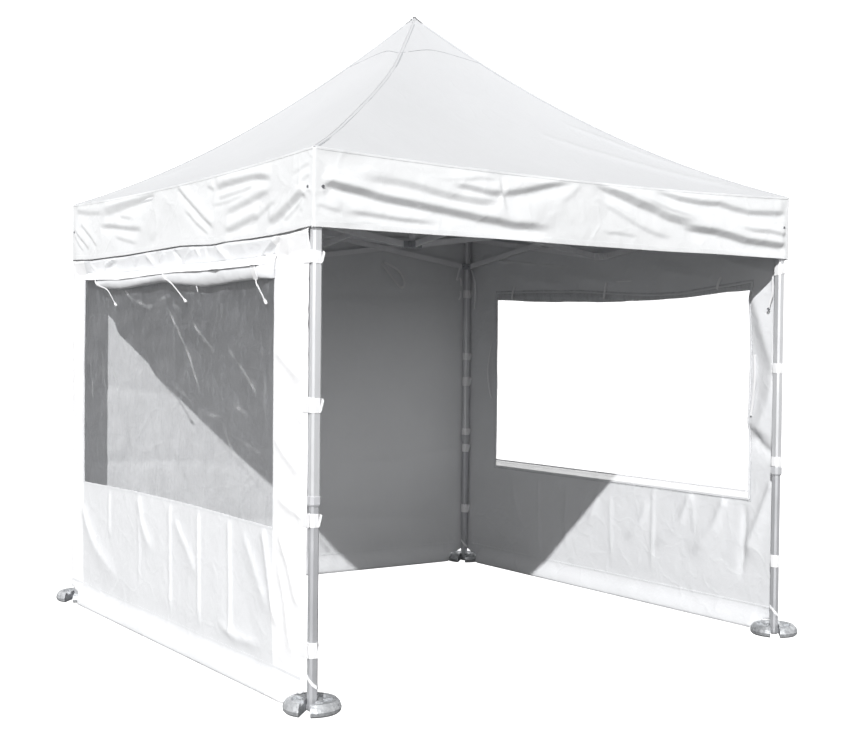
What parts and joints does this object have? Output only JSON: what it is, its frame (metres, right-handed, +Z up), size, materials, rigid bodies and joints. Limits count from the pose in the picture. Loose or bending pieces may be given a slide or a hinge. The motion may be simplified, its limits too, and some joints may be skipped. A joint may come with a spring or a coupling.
{
  "type": "folding marquee tent with window walls",
  "caption": "Square folding canopy tent on telescopic legs, with a scissor frame, a peaked roof, a valance, plain and window walls strapped on, and cast leg weights.",
  "frame": {"origin": "on the floor under the roof's peak, at the centre of the base", "axes": "+Z up, +X to the right seen from the open front, +Y from the open front to the back wall"},
  "size_m": [3.1924, 3.1924, 3.49],
  "materials": {
    "leg_tube": "satin anodised extrusion",
    "truss_bar": "satin anodised flat bar",
    "bracket": "die cast, matt",
    "collar": "moulded grey nylon",
    "roof_cloth": "coated woven polyester",
    "wall_cloth": "coated woven polyester",
    "clear_film": "clear flexible film",
    "weight_casting": "galvanised casting"
  },
  "bodies": {
    "root": {"outer_leg_front_left": "leg_tube", "outer_leg_front_right": "leg_tube", "outer_leg_back_right": "leg_tube", "outer_leg_back_left": "leg_tube", "inner_leg_front_left": "leg_tube", "inner_leg_front_right": "leg_tube", "inner_leg_back_right": "leg_tube", "inner_leg_back_left": "leg_tube", "leg_collar_front_left": "collar", "leg_collar_front_right": "collar", "leg_collar_back_right": "collar", "leg_collar_back_left": "collar", "corner_bracket_front_left": "bracket", "corner_bracket_front_right": "bracket", "corner_bracket_back_right": "bracket", "corner_bracket_back_left": "bracket", "leg_slider_front_left": "bracket", "leg_slider_front_right": "bracket", "leg_slider_back_right": "bracket", "leg_slider_back_left": "bracket", "front_truss": "truss_bar", "right_truss": "truss_bar", "back_truss": "truss_bar", "left_truss": "truss_bar", "inner_scissor_front": "truss_bar", "inner_scissor_right": "truss_bar", "inner_scissor_back": "truss_bar", "inner_scissor_left": "truss_bar", "upper_hub": "bracket", "lower_hub": "bracket", "centre_mast": "leg_tube", "front_roof_panel": "roof_cloth", "right_roof_panel": "roof_cloth", "back_roof_panel": "roof_cloth", "left_roof_panel": "roof_cloth", "valance": "roof_cloth", "left_wall": "wall_cloth", "right_wall": "wall_cloth", "back_wall": "wall_cloth", "left_window": "clear_film", "right_window": "clear_film", "left_window_cover_roll": "wall_cloth", "right_window_cover_roll": "wall_cloth", "leg_weight_front_left": "weight_casting", "leg_weight_front_right": "weight_casting", "leg_weight_back_right": "weight_casting", "leg_weight_back_left": "weight_casting"}
  },
  "joints": []
}
